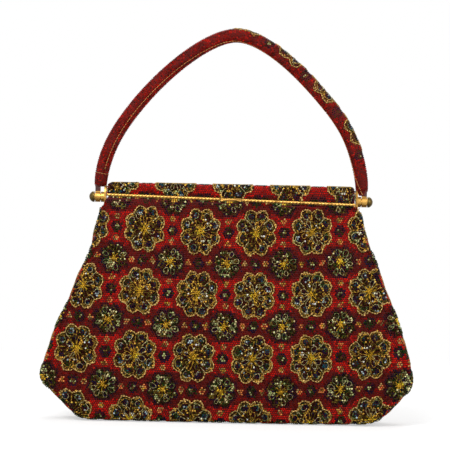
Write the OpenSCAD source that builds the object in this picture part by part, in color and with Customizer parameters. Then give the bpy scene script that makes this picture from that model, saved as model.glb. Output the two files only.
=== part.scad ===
// Beaded handbag with a lift-up lid, a roped front rail and a padded arch handle.
// Sizes in millimetres. X runs left to right, Y front to back, Z up from the floor.

/* [Body] */
// Widest part of the body
body_w = 290; // [270:310]
// How far each cut corner takes the base in from the widest part
base_in = 30.5; // [22:40]
// Height where the body is widest
widest_z = 32; // [24:44]
// How far each side draws in from the widest part to the mouth
mouth_in = 43.2; // [34:54]
// Height of the handle posts above the floor
pin_z = 175; // [150:200]
// Body depth at the mouth
mouth_d = 26; // [24:34]
// Body depth at the fullest height
belly_d = 52; // [42:64]
// Body depth at the base
base_d = 46; // [38:54]
// Height of the fullest depth
belly_z = 52; // [40:80]
// Sway of the side edges, in above the middle and out below it
side_sway = 2; // [0:0.5:4]
// Rounding of the widest corners
widest_r = 12; // [6:18]
// Rounding of the base corners
base_r = 25; // [12:35]
// Rounding of the long base edges
edge_r = 3; // [1:0.5:5]
// Beaded cloth with its backing
cloth_t = 2; // [1.5:0.1:2.5]
// Lining cloth
lining_t = 0.8; // [0.5:0.1:1.2]
// Board in the base
board_t = 2; // [1:0.5:3]

/* [Beadwork] */
// Spacing of the medallions from side to side at the base
pitch_x = 46.7; // [42:0.1:54]
// How much closer the medallion columns stand at the mouth
pitch_in = 3.6; // [0:0.1:8]
// Spacing of the medallions up the body
pitch_z = 48.7; // [44:0.1:56]
// Shift of the medallion columns from the middle at the base
shift_x = -5; // [-10:10]
// Lean of the medallion columns to the right on the way up
lean_x = 3.9; // [-6:0.1:6]
// Height of the lowest row of medallions at the middle
row_z = 2.6; // [0:0.1:20]
// Rise of the rows of medallions from the middle to the widest part
row_rise = 9; // [0:0.5:12]
// Width of a large medallion
medal_w = 34; // [26:38]
// Height of a large medallion
medal_h = 37.5; // [28:42]
// Width of a middle flower
flower_w = 21; // [14:0.5:22]
// Width of a small flower
bud_w = 8; // [5:10]
// Height of the beadwork above its cloth
bead_t = 0.6; // [0.3:0.1:1]

/* [Lid] */
// Height of the lid above the mouth rim
lid_rise = 12.6; // [11:0.2:16]
// Brass of the lid tray
tray_t = 1; // [0.8:0.1:1.4]
// Beaded cloth on the lid
lid_cloth_t = 1.4; // [1:0.1:1.8]
// Height of the lid's medallion centres above the front rail, over the top edge
lid_row = 14.5; // [8:0.5:20]
// Shift of the lid's medallions from the middle
lid_shift = 1.3; // [-6:0.1:6]
// Rounding of the lid's upper ends
lid_end_r = 5; // [3:0.5:6]
// Height of the front rail
rail_h = 2.4; // [2:0.1:3]
// Width of the thumb lift
thumb_w = 16.4; // [12:24]
// Rise of the thumb lift
thumb_rise = 1.3; // [0.8:0.1:1.5]
// Length of the hinge
hinge_l = 150; // [100:170]
// Number of knuckles, odd
knuckles = 9; // [5:2:13]
// Width of the catch spring
spring_w = 14; // [8:24]
// Radius of a hinge knuckle
knuckle_r = 1.7; // [1.6:0.05:1.8]

/* [Frame] */
// How far the top of the mouth rim sits below the posts
mouth_low = 1.6; // [0:0.1:3]
// Height of the mouth rim
skirt_h = 7; // [6:0.5:10]
// Height of the rim's lip inside the lid
lip_h = 2.5; // [2:0.1:2.6]
// Brass of the mouth rim
rim_t = 1.2; // [0.8:0.1:1.6]
// Thickness of an end plate
plate_t = 1.6; // [1.2:0.1:2.2]
// Radius of the barrel that the handle turns on
barrel_r = 2.9; // [2.4:0.1:3.2]
// Length of the barrel
barrel_l = 5.2; // [4.5:0.1:7]
// Length of the collar between plate and barrel
collar_l = 2.6; // [1.5:0.1:4]
// Radius of the domed knob
knob_r = 4.2; // [3.8:0.1:5]
// Length of the domed knob
knob_l = 4.2; // [3:0.1:6]

/* [Handle] */
// Height of the handle's centre line above the posts
arch_h = 129.3; // [110:150]
// Height that the sides of the arch lean from
lean_z = 54; // [44:70]
// Half width of the flat crown of the arch
crown_x = 34.4; // [20:44]
// Width of the strap
strap_w = 10.4; // [8:0.2:12]
// Thickness of the strap
strap_t = 8; // [6:0.2:9]
// Length of a tab between its barrel and the strap
neck_l = 5.5; // [4:0.5:8]
// Thickness of a tab round its barrel
tab_t = 1.2; // [0.8:0.1:1.6]

/* [Hidden] */
$fn = 48;
fit = 0.3;
run = 0.05;
base_w = body_w - 2 * base_in;
mouth_w = body_w - 2 * mouth_in;
mouth_z = pin_z - mouth_low;
panel_top = mouth_z - 1.2;
shoulder = 4;
gusset_top = panel_top - shoulder - 0.2;
lining_top = mouth_z - 6;
lining_floor = cloth_t + board_t + 0.2;
corner_x = body_w / 2 + widest_r / 10;

rim_x = mouth_w / 2 - cloth_t - plate_t;
rim_y = mouth_d / 2 - cloth_t - 0.2;
rim_low = mouth_z - skirt_h;
rim_top = mouth_z - 0.1;
lip_top = mouth_z + lip_h;
lip_t = 1;
lid_x = rim_x - 0.8;
tray_x = lid_x - lid_cloth_t;
lip_x = tray_x - tray_t - 0.3;
lip_y = rim_y - 0.4;
tray_y = lip_y + 0.6 + tray_t;
tray_top = mouth_z + lid_rise - lid_cloth_t;
tray_low = mouth_z + 0.2;
rail_low = mouth_z;
cover_low = rail_low + rail_h + 0.1;
cover_y = tray_y + lid_cloth_t;
rail_r = 1.05;
rail_y = tray_y + rail_r + 0.05;
rail_z = rail_low + rail_h / 2;

axis_y = tray_y + 0.8;
axis_z = mouth_z + 0.7;
rod_r = knuckle_r - 0.95;
leaf_low = mouth_z + 2.6;
leaf_top = mouth_z + 4.6;
pitch_k = hinge_l / knuckles;

plate_low = gusset_top + 0.4;
post_x = rim_x + plate_t;
barrel_x = post_x + collar_l;
knob_x = barrel_x + barrel_l;
collar_r = barrel_r + 1.2;
arch_x = barrel_x + barrel_l / 2;
foot_z = barrel_r + tab_t + neck_l;
tab_w = barrel_l - 1.2;
foot_w = 2 * min(strap_w * 0.385, arch_x - post_x - 1.1);

function unit(v) = v / norm(v);
function left_of(e) = [-e[1], e[0]];
function shifted(a, b, c, d) =
  let (m = left_of(unit(b - a)), n = left_of(unit(c - b)))
  b + (m + n) * d / (1 + m * n);
// The points of an outline, moved inwards by d
function inset(p, d) =
  let (n = len(p))
  [for (i = [0 : n - 1]) shifted(p[(i + n - 1) % n], p[i], p[(i + 1) % n], d)];
// The arc that rounds corner b between a and c
function corner_arc(a, b, c, r, n) =
  let (u = unit(a - b), v = unit(c - b), half = acos(u * v) / 2)
  let (o = b + unit(u + v) * r / sin(half))
  let (p = b + u * r / tan(half) - o, q = b + v * r / tan(half) - o)
  let (from = atan2(p[1], p[0]), turn = atan2(q[1], q[0]) - from)
  [for (i = [0 : n]) o + r * [cos(from + turn * i / n), sin(from + turn * i / n)]];

// Front outline of the body, right half from the base to the mouth
side_n = 7;
shoulder_z = panel_top - shoulder;
side = [for (i = [1 : side_n])
  let (s = i / side_n, draw_in = (corner_x - mouth_w / 2) * s)
  [corner_x - draw_in + side_sway * sin(360 * s), widest_z + (shoulder_z - widest_z) * s]];
base_corner = [base_w / 2, 0];
wide_corner = [corner_x, widest_z];
half_outline = concat(
  corner_arc([0, 0], base_corner, wide_corner, base_r, 5),
  corner_arc(base_corner, wide_corner, side[0], widest_r, 6),
  side,
  [[mouth_w / 2 - shoulder, panel_top]]);
half_n = len(half_outline);
outline = concat(
  half_outline,
  [for (i = [1 : half_n]) [-half_outline[half_n - i][0], half_outline[half_n - i][1]]]);

// Half depth of the body at height z
function swell(z) = z > belly_z
  ? (belly_d - mouth_d) / 2 * pow((z - belly_z) / (panel_top - belly_z), 2)
  : (belly_d - base_d) / 2 * pow((belly_z - z) / belly_z, 2);
function rounded_edge(z) = z < edge_r ? edge_r - sqrt(edge_r * edge_r - (edge_r - z) * (edge_r - z)) : 0;
function half_d(z) = belly_d / 2 - swell(z) - rounded_edge(z);
depth_n = 14;
heights = concat(
  [for (i = [0 : 4]) edge_r * (1 - cos(90 * i / 4))],
  [for (i = [1 : depth_n]) edge_r + (panel_top - edge_r) * i / depth_n]);

module along_x(l) rotate([90, 0, 90]) linear_extrude(l, center = true) children();
module along_y(l) rotate([90, 0, 0]) linear_extrude(l, center = true) children();

// Side view of the body, drawn in by d
module side_view(d) {
  polygon(concat(
    [for (z = heights) [half_d(z) - d, z]],
    [for (i = [1 : len(heights)]) [d - half_d(heights[len(heights) - i]), heights[len(heights) - i]]]));
}

// Side view of one face of the body, from depth a to depth b below its surface
module face_view(a, b) {
  polygon(concat(
    [for (z = heights) [a - half_d(z), z]],
    [for (i = [1 : len(heights)]) [b - half_d(heights[len(heights) - i]), heights[len(heights) - i]]]));
}

module panel() {
  intersection() {
    along_y(belly_d + 10) polygon(outline);
    along_x(body_w + 10) face_view(0, cloth_t);
  }
}

module front_panel() color([0.55, 0.06, 0.07]) panel();

module back_panel() color([0.55, 0.06, 0.07]) rotate([0, 0, 180]) panel();

module gusset() color([0.5, 0.05, 0.06]) {
  intersection() {
    along_y(belly_d + 10) difference() {
      polygon(outline);
      polygon(inset(outline, cloth_t));
    }
    along_x(body_w + 10) intersection() {
      side_view(cloth_t);
      translate([-belly_d, -1]) square([2 * belly_d, gusset_top + 1]);
    }
  }
}

// A flower outline of eight round lobes
function lobed(w, h, cut, n) = [for (i = [0 : n - 1])
  let (a = 360 * i / n, k = 1 - cut * (1 - abs(sin(4 * a))))
  [w / 2 * k * cos(a), h / 2 * k * sin(a)]];

// Place of column i and row j: the columns close up towards the mouth and the rows rise to the sides
function row_at(j) = row_z + j * pitch_z;
function pitch_at(z) = pitch_x - pitch_in * z / panel_top;
function column_at(i, z) = shift_x + lean_x * z / panel_top + i * pitch_at(z);
function lattice_at(i, j) = let (x = column_at(i, row_at(j)))
  [x, row_at(j) + row_rise * pow(2 * x / body_w, 2)];

module at_lattice(dx, dz) {
  for (i = [-4 : 4]) for (j = [-1 : 4]) translate(lattice_at(i + 0.5 + dx, j + dz)) children();
}

module beadwork() {
  intersection() {
    along_y(belly_d + 10) intersection() {
      polygon(inset(outline, 2.5));
      children();
    }
    along_x(body_w + 10) face_view(-bead_t, 0);
  }
}

module medallions() beadwork() at_lattice(0, 0) polygon(lobed(medal_w, medal_h, 0.16, 32));

module flowers() beadwork() {
  at_lattice(0.5, 0.5) polygon(lobed(flower_w, flower_w, 0.14, 16));
  at_lattice(0.5, 0) circle(d = bud_w, $fn = 8);
  at_lattice(0, 0.5) circle(d = bud_w, $fn = 8);
}

module front_medallions() color([0.12, 0.2, 0.22]) medallions();

module front_flowers() color([0.1, 0.22, 0.16]) flowers();

module back_medallions() color([0.12, 0.2, 0.22]) rotate([0, 0, 180]) medallions();

module back_flowers() color([0.1, 0.22, 0.16]) rotate([0, 0, 180]) flowers();

module side_medallions() color([0.12, 0.2, 0.22]) {
  intersection() {
    along_x(body_w + 10) intersection() {
      side_view(cloth_t + 1.5);
      translate([0, row_rise * 0.75]) {
        for (j = [1 : 3]) translate([0, row_at(j)]) polygon(lobed(medal_w, medal_h, 0.16, 32));
        for (j = [1.5 : 2.5]) translate([0, row_at(j)]) circle(d = bud_w, $fn = 8);
      }
    }
    along_y(belly_d + 10) difference() {
      polygon(inset(outline, -bead_t));
      polygon(outline);
    }
    translate([-body_w, -belly_d, widest_z]) cube([2 * body_w, 2 * belly_d, gusset_top - 1.5 - widest_z]);
  }
}

module rounded_rect(x, y, r) {
  square([2 * x, 2 * (y - r)], center = true);
  square([2 * (x - r), 2 * y], center = true);
  for (s = [-1, 1]) for (t = [-1, 1]) translate([s * (x - r), t * (y - r)]) circle(r);
}

module base_board() color([0.6, 0.5, 0.38]) {
  translate([0, 0, cloth_t + 0.1]) linear_extrude(board_t)
    rounded_rect(half_outline[0][0] - fit, half_d(cloth_t + 0.1) - cloth_t - fit, 6);
}

module lining_space(d) {
  intersection() {
    along_y(belly_d + 10) polygon(inset(outline, cloth_t + d));
    along_x(body_w + 10) side_view(cloth_t + d);
  }
}

module lining() color([0.62, 0.08, 0.1]) {
  difference() {
    intersection() {
      lining_space(fit);
      translate([-body_w, -body_w, lining_floor]) cube([2 * body_w, 2 * body_w, lining_top - lining_floor]);
    }
    intersection() {
      lining_space(fit + lining_t);
      translate([-body_w, -body_w, lining_floor + lining_t]) cube([2 * body_w, 2 * body_w, pin_z]);
    }
  }
}

module slip_pocket() color([0.58, 0.07, 0.09]) {
  intersection() {
    along_y(belly_d + 10) translate([-mouth_w * 0.3, pin_z * 0.4]) square([mouth_w * 0.6, pin_z * 0.42]);
    rotate([0, 0, 180]) along_x(body_w + 10)
      face_view(cloth_t + fit + lining_t, cloth_t + fit + 2 * lining_t);
  }
}

module ring(x, y, t, low, top) {
  translate([0, 0, low]) linear_extrude(top - low) difference() {
    rounded_rect(x, y, 2);
    rounded_rect(x - t, y - t, 1);
  }
}

module mouth_rim() color([0.72, 0.56, 0.27]) {
  ring(rim_x, rim_y, rim_t, rim_low, rim_top);
  ring(lip_x, lip_y, lip_t, rim_top - 0.8, lip_top);
  translate([0, 0, rim_top - 0.8]) linear_extrude(0.8) difference() {
    rounded_rect(rim_x, rim_y, 2);
    rounded_rect(lip_x - lip_t, lip_y - lip_t, 1);
  }
}

module end_plate() {
  half = rim_y * 0.6;
  difference() {
    translate([rim_x, 0, 0]) rotate([90, 0, 90]) linear_extrude(plate_t) {
      translate([-half, plate_low]) square([2 * half, pin_z + 3 - plate_low]);
      translate([0, pin_z + 3]) circle(half);
    }
    translate([rim_x - 1, 0, pin_z]) rotate([0, 90, 0]) cylinder(r = 1.5 + run, h = plate_t + 2);
  }
}

module left_end_plate() color([0.76, 0.6, 0.3]) mirror([1, 0, 0]) end_plate();

module right_end_plate() color([0.76, 0.6, 0.3]) end_plate();

module post() {
  translate([0, 0, pin_z]) rotate([0, 90, 0]) difference() {
    union() {
      translate([0, 0, rim_x]) cylinder(r = 1.5, h = plate_t + 1);
      translate([0, 0, post_x]) cylinder(r = collar_r, h = collar_l);
      translate([0, 0, barrel_x - 0.5]) cylinder(r = barrel_r, h = barrel_l + 0.5);
    }
    translate([0, 0, knob_x - 3.5]) cylinder(r = 1.2 + run, h = 4);
  }
}

module left_post() color([0.76, 0.6, 0.3]) mirror([1, 0, 0]) post();

module right_post() color([0.76, 0.6, 0.3]) post();

module knob() {
  brim = 1.2;
  cap = knob_l - brim;
  dome_r = (knob_r * knob_r + cap * cap) / (2 * cap);
  translate([knob_x, 0, pin_z]) rotate([0, 90, 0]) {
    translate([0, 0, -3.2]) cylinder(r = 1.2, h = 4);
    cylinder(r = knob_r, h = brim);
    intersection() {
      translate([0, 0, knob_l - dome_r]) sphere(dome_r);
      translate([0, 0, brim - 0.2]) cylinder(r = knob_r, h = knob_l);
    }
  }
}

module left_knob() color([0.5, 0.4, 0.2]) mirror([1, 0, 0]) knob();

module right_knob() color([0.5, 0.4, 0.2]) knob();

// One knuckle of the hinge at place i, from the left
module knuckle(i) {
  translate([-hinge_l / 2 + pitch_k * i + 0.2, axis_y, axis_z]) rotate([0, 90, 0])
    cylinder(r = knuckle_r, h = pitch_k - 0.4);
}

module hinge_bore() {
  translate([-hinge_l, axis_y, axis_z]) rotate([0, 90, 0]) cylinder(r = rod_r + run, h = 2 * hinge_l);
}

module rim_hinge_leaf() color([0.72, 0.56, 0.27]) {
  difference() {
    union() {
      translate([-hinge_l / 2, lip_y, rim_top]) cube([hinge_l, rim_y - lip_y, 2.4]);
      for (i = [1 : 2 : knuckles - 2]) {
        knuckle(i);
        translate([-hinge_l / 2 + pitch_k * i + 0.2, lip_y, rim_top])
          cube([pitch_k - 0.4, axis_y - 0.4 - lip_y, 0.8]);
      }
    }
    hinge_bore();
  }
}

module hinge_rod() color([0.66, 0.5, 0.24]) {
  translate([-hinge_l / 2 - 0.5, axis_y, axis_z]) rotate([0, 90, 0]) cylinder(r = rod_r, h = hinge_l + 1);
}

// End view of a lid with round top edges
module lid_view(y, low, top, r) {
  translate([-y, low]) square([2 * y, top - low - r]);
  translate([r - y, low]) square([2 * (y - r), top - low]);
  for (s = [-1, 1]) translate([s * (y - r), top - r]) circle(r);
}

module lid_block(d, low) {
  intersection() {
    along_x(3 * lid_x) lid_view(cover_y - d, low, mouth_z + lid_rise - d, 2.2 + lid_cloth_t - d);
    along_y(3 * cover_y) lid_view(lid_x - d, low, mouth_z + lid_rise - d, lid_end_r - d);
  }
}

module lid_tray() color([0.72, 0.56, 0.27]) {
  inside_h = tray_top - tray_t - tray_low;
  difference() {
    lid_block(lid_cloth_t, tray_low);
    translate([tray_t - tray_x, tray_t - tray_y, tray_low - 1])
      cube([2 * (tray_x - tray_t), 2 * (tray_y - tray_t), inside_h + 1 - lid_end_r * 0.3]);
    translate([lid_end_r - tray_x, tray_t - tray_y, tray_low])
      cube([2 * (tray_x - lid_end_r), 2 * (tray_y - tray_t), inside_h]);
    translate([-hinge_l / 2 - 0.2, tray_y - tray_t - 0.5, tray_low - 1])
      cube([hinge_l + 0.4, tray_t + 2, leaf_top - tray_low + 1]);
  }
}

module lid_cover() color([0.55, 0.06, 0.07]) {
  difference() {
    lid_block(0, cover_low);
    lid_block(lid_cloth_t, cover_low - 1);
  }
}

module lid_lining() color([0.62, 0.08, 0.1]) {
  inner_x = tray_x - lid_end_r - 0.1;
  inner_y = tray_y - tray_t - 0.1;
  translate([-inner_x, -inner_y, tray_top - tray_t - 0.6]) cube([2 * inner_x, 2 * inner_y, 0.6]);
}

module lid_medallions() color([0.12, 0.2, 0.22]) {
  translate([0, -cover_y - bead_t / 2, 0]) along_y(bead_t) intersection() {
    for (i = [-3 : 3])
      translate([lid_shift + i * (pitch_x - pitch_in / 2), cover_low + lid_row])
        polygon(lobed(medal_w, medal_h, 0.16, 32));
    translate([lid_end_r - lid_x, cover_low + 0.4])
      square([2 * (lid_x - lid_end_r), tray_top - 2.6 - cover_low]);
  }
}

module front_rail() color([0.8, 0.64, 0.32]) {
  run_l = lid_x - 0.6 - thumb_w / 2;
  for (s = [0, 1]) mirror([s, 0, 0]) translate([thumb_w / 2, 0, 0]) {
    translate([0, -tray_y - 0.7, rail_low]) cube([run_l, 0.7, rail_h]);
    translate([0, -rail_y, rail_z]) rotate([0, 90, 0]) cylinder(r = rail_r, h = run_l);
  }
}

module thumb_lift() color([0.8, 0.64, 0.32]) {
  half = thumb_w / 2 - 0.4;
  bend = (half * half + thumb_rise * thumb_rise) / (2 * thumb_rise);
  sweep = asin(half / bend);
  low = mouth_z + 0.1;
  translate([-half, -tray_y - 0.7, low]) cube([2 * half, 0.7, thumb_rise + 1]);
  translate([0, -rail_y, low + thumb_rise - bend]) rotate([90, 0, 0]) rotate([0, 0, 90 - sweep])
    rotate_extrude(angle = 2 * sweep, $fn = 96) translate([bend, 0]) circle(1);
}

module lid_hinge_leaf() color([0.72, 0.56, 0.27]) {
  difference() {
    union() {
      translate([-hinge_l / 2, tray_y - tray_t, leaf_low]) cube([hinge_l, tray_t, leaf_top - leaf_low]);
      for (i = [0 : 2 : knuckles - 1]) {
        knuckle(i);
        translate([-hinge_l / 2 + pitch_k * i + 0.2, tray_y - tray_t, axis_z])
          cube([pitch_k - 0.4, tray_t, leaf_top - axis_z]);
      }
    }
    hinge_bore();
  }
}

module catch_spring() color([0.7, 0.56, 0.3]) {
  translate([-spring_w / 2, tray_t - tray_y, mouth_z + 0.6]) cube([spring_w, 0.4, lid_rise / 2]);
}

// Centre line of the strap, from u = 0 at the right foot over the crown to u = 2 at the left foot
function curve(t) = let (s = 1 - t) [
  arch_x * (s * s * s + 3 * s * s * t) + 3 * s * t * t * crown_x,
  foot_z * s * s * s + 3 * s * s * t * lean_z + (3 * s * t * t + t * t * t) * arch_h];
function path(u) = u <= 1 ? curve(u) : [-curve(2 - u)[0], curve(2 - u)[1]];
function heading(u) = u <= 0 ? [0, 1] : u >= 2 ? [0, -1] : unit(path(u + 0.01) - path(u - 0.01));
function fullness(u) = let (t = min(u, 2 - u)) min(1, t / 0.3) * (2 - min(1, t / 0.3));
strap_n = 36;
strap_k = 16;
strap_ring = [for (i = [0 : strap_n])
  let (u = 2 * i / strap_n, c = path(u), h = heading(u), f = fullness(u))
  let (w = (foot_w + (strap_w - foot_w) * f) / 2, t = strap_t * (0.62 + 0.38 * f) / 2)
  for (k = [0 : strap_k - 1])
    let (a = 360 * k / strap_k)
    [c[0] + h[1] * w * cos(a), t * sin(a), pin_z + c[1] - h[0] * w * cos(a)]];

module handle_strap() color([0.4, 0.04, 0.05]) {
  polyhedron(strap_ring, concat(
    [[for (k = [0 : strap_k - 1]) k]],
    [for (i = [0 : strap_n - 1]) for (k = [0 : strap_k - 1]) for (h = [0, 1])
      let (a = i * strap_k + k, b = i * strap_k + (k + 1) % strap_k, c = a + strap_k, d = b + strap_k)
      h == 0 ? [a, c, b] : [b, c, d]],
    [[for (k = [1 : strap_k]) strap_n * strap_k + strap_k - k]]));
}

module tab() {
  translate([arch_x - tab_w / 2, 0, pin_z]) difference() {
    union() {
      rotate([0, 90, 0]) cylinder(r = barrel_r + run + tab_t, h = tab_w);
      translate([0, -2, 0]) cube([tab_w, 4, foot_z]);
    }
    translate([-1, 0, 0]) rotate([0, 90, 0]) cylinder(r = barrel_r + run, h = tab_w + 2);
  }
}

module left_tab() color([0.3, 0.04, 0.05]) mirror([1, 0, 0]) tab();

module right_tab() color([0.3, 0.04, 0.05]) tab();

front_panel();
back_panel();
gusset();
front_medallions();
front_flowers();
back_medallions();
back_flowers();
side_medallions();
base_board();
lining();
slip_pocket();
mouth_rim();
left_end_plate();
right_end_plate();
left_post();
right_post();
left_knob();
right_knob();
rim_hinge_leaf();
hinge_rod();
lid_tray();
lid_cover();
lid_lining();
lid_medallions();
front_rail();
thumb_lift();
lid_hinge_leaf();
catch_spring();
handle_strap();
left_tab();
right_tab();
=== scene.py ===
import math
import bmesh
import bpy
import numpy as np
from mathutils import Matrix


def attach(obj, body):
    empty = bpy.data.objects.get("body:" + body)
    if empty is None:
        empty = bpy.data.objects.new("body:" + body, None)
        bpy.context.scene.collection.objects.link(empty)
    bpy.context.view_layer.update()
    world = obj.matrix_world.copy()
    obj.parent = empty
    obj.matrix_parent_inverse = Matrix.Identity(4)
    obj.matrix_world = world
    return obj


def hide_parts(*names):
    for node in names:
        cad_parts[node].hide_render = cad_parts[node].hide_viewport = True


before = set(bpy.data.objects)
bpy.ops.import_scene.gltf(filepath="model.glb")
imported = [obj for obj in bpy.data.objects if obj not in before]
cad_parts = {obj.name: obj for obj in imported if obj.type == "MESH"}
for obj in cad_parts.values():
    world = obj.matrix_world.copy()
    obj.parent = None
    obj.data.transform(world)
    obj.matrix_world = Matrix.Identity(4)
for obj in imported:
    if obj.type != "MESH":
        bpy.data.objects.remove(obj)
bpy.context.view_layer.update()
scene = bpy.context.scene
scene.view_settings.view_transform = "Standard"
rng = np.random.default_rng(11)
MM = 0.001

# Sizes of the part, in millimetres
BODY_W, BASE_IN, MOUTH_IN, WIDEST_Z = 290.0, 30.5, 43.2, 32.0
PIN_Z, PANEL_TOP, SHOULDER_Z = 175.0, 172.2, 168.2
MOUTH_D, BELLY_D, BASE_D, BELLY_Z = 26.0, 52.0, 46.0, 52.0
SWAY, WIDEST_R, BASE_R, SEAM_R = 2.0, 12.0, 25.0, 4.0
CORNER_X = BODY_W / 2 + WIDEST_R / 10
MOUTH_X = BODY_W / 2 - MOUTH_IN
LID_X, COVER_Y, COVER_LOW, LID_TOP, LID_END_R = 97.4, 13.4, 175.9, 186.0, 3.4
RAIL_Y, RAIL_Z, THUMB_W, LID_ROW, LID_SHIFT = 13.1, 174.6, 16.4, 14.5, 1.3
ARCH_X, ARCH_H, LEAN_Z, CROWN_X, FOOT_Z = 105.0, 129.3, 54.0, 34.4, 8.0
STRAP_W, STRAP_T, FOOT_W, FOOT_IN = 10.4, 8.0, 8.8, 2.0
LINING_FLOOR, CLOTH_IN = 4.2, 2.3
# The front rail has dropped this much to the right over each millimetre
DROP = 0.022

# The repeat: its columns close up to the mouth and lean, its rows rise to the sides and drop to the base
PITCH_X, PITCH_IN, SHIFT_X, LEAN_X = 46.7, 3.6, -5.0, 3.9
PITCH_Z, ROW_Z, ROW_RISE, ROW_DROP, DROP_Z = 48.7, 2.6, 9.0, 3.0, 62.0
MEDAL_W, MEDAL_H, MEDAL_CUT = 35.4, 38.0, 0.19
FLOWER_W, FLOWER_CUT, BUD_W, DOT_R, DOT_AT = 22.4, 0.14, 8.0, 2.2, 8.6

# Beads and cords: the cloth lies SKIN below their surface, and colours run in small patches
SKIN = 0.6
BEAD_R, BEAD_H, BEAD_X, BEAD_Z, BEAD_OFF = 0.82, 0.62, 1.7, 1.52, 0.1
STRAP_BEAD_R, STRAP_BEAD_H = 0.72, 0.42
PATCH, PATCH_SHARE, PATCH_TABLE = 2.8, 0.65, 8191
CORD_LIFT, LID_CORD_LIFT, STRAP_CORD_LIFT = 1.1, 1.05, 0.55
STITCH, STITCH_R, STITCH_FILL = 2.6, 0.3, 0.8

TURN, EIGHTH = 2 * math.pi, math.pi / 4
# Depth of a quarter round of radius 1 at the middle of its arc
HALF_ARC = 1 - math.sqrt(0.5)


def lin(r, g, b):
    c = np.array([r, g, b], float) / 255
    return np.where(c <= 0.04045, c / 12.92, ((c + 0.055) / 1.055) ** 2.4)


RED, MAROON = lin(186, 20, 9), lin(98, 16, 6)
# NAVY, GREEN and BROWN are the beads' own colours taken darker, so that they also carry painted shade for the
# shadows between beads.
VIOLET, NAVY, TEAL = lin(48, 12, 30), lin(9, 16, 40), lin(22, 62, 72)
GREEN, OLIVE, BROWN = lin(17, 46, 14), lin(102, 88, 32), lin(38, 22, 4)
PALE_GREEN, WHITE, PALE_BLUE = lin(150, 160, 104), lin(232, 226, 196), lin(150, 168, 170)
GOLD, PEACH = lin(212, 164, 66), lin(226, 184, 110)
STAR, CREAM = lin(234, 182, 50), lin(216, 202, 144)


# Shape of the body

def unit(v):
    return v / np.linalg.norm(v)


def units(v):
    """The rows of v at unit length."""
    return v / np.maximum(np.linalg.norm(v, axis=-1, keepdims=True), 1e-9)


def corner_arc(a, b, c, r, n):
    a, b, c = (np.array(p, float) for p in (a, b, c))
    u, v = unit(a - b), unit(c - b)
    half = math.acos(float(u @ v)) / 2
    o = b + unit(u + v) * r / math.sin(half)
    p, q = b + u * r / math.tan(half) - o, b + v * r / math.tan(half) - o
    start = math.atan2(p[1], p[0])
    turn = math.atan2(q[1], q[0]) - start
    t = start + turn * np.arange(n + 1) / n
    return o + r * np.stack([np.cos(t), np.sin(t)], 1)


def side_edge(n):
    s = np.arange(1, n + 1) / n
    x = CORNER_X + (MOUTH_X - CORNER_X) * s + SWAY * np.sin(TURN * s)
    return np.stack([x, WIDEST_Z + (SHOULDER_Z - WIDEST_Z) * s], 1)


def right_outline():
    base, wide = (BODY_W / 2 - BASE_IN, 0.0), (CORNER_X, WIDEST_Z)
    edge = side_edge(60)
    return np.concatenate([
        corner_arc((0, 0), base, wide, BASE_R, 22),
        corner_arc(base, wide, side_edge(7)[0], WIDEST_R, 16),
        edge[edge[:, 1] > WIDEST_Z + 12]])


RAW = right_outline()
RUN = np.concatenate([[0], np.cumsum(np.linalg.norm(np.diff(RAW, axis=0), axis=1))])
BASE_X = RAW[0, 0]
SIDE_L = RUN[-1]


def along(s):
    return np.stack([np.interp(s, RUN, RAW[:, 0]), np.interp(s, RUN, RAW[:, 1])], -1)


def edge_at(s):
    """Point and outward normal of the right outline, s along it from the end of the flat base."""
    h = 0.9
    t = units(along(s + h) - along(s - h))
    n = np.stack([t[..., 1], -t[..., 0]], -1)
    n[np.asarray(s) <= 0] = (0, -1)
    return along(s), n


def half_d(z):
    z = np.asarray(z, float)
    up = (BELLY_D - MOUTH_D) / 2 * ((z - BELLY_Z) / (PANEL_TOP - BELLY_Z)) ** 2
    down = (BELLY_D - BASE_D) / 2 * ((BELLY_Z - z) / BELLY_Z) ** 2
    return BELLY_D / 2 - np.where(z > BELLY_Z, up, down)


def half_w(z):
    return np.interp(z, RAW[:, 1], RAW[:, 0])


def edge_distance(x, z):
    """Distance of front-view points from the seam edge of the body."""
    p = np.stack([np.abs(x).ravel(), np.asarray(z, float).ravel()], 1)
    best = np.full(len(p), 1e9)
    for a, b in zip(np.concatenate([[[0.0, 0.0]], RAW[:-1]]), RAW):
        ab = b - a
        t = np.clip(((p - a) @ ab) / (ab @ ab), 0, 1)
        best = np.minimum(best, np.linalg.norm(p - a - t[:, None] * ab, axis=1))
    return best.reshape(np.shape(x))


def fold(d, r):
    d = np.clip(d, 0, r)
    return r - np.sqrt(np.maximum(r * r - (r - d) ** 2, 0))


def slack(x, z, d):
    """Soft hang of the cloth: a fuller lower belly and slow waves, none at the seams and the rim."""
    ease = np.clip(d / 18, 0, 1)
    ease = ease * ease * (3 - 2 * ease)
    rim = np.clip((PANEL_TOP - z) / 30, 0, 1)
    belly = 1.5 * np.exp(-((z - 46) / 34) ** 2)
    waves = 0.55 * np.sin(x / 31 + 1.2) * np.sin(z / 37 + 0.5) + 0.4 * np.sin(x / 17 - z / 29)
    draws = 0.35 * np.sin(x / 9.5 + 0.8 * np.sin(z / 22)) * np.exp(-((z - 150) / 26) ** 2)
    return ease * (belly + waves + draws) * (0.25 + 0.75 * rim)


def face_y(x, z):
    d = edge_distance(x, z) - SKIN
    return -(half_d(z) - SKIN + slack(x, z, d) - fold(d, SEAM_R))


def side_dip(y, z):
    """The sides fold in a little towards the mouth."""
    return 1.1 * np.exp(-(y / 6.5) ** 2) * np.clip((z - 70) / 70, 0, 1)


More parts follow.
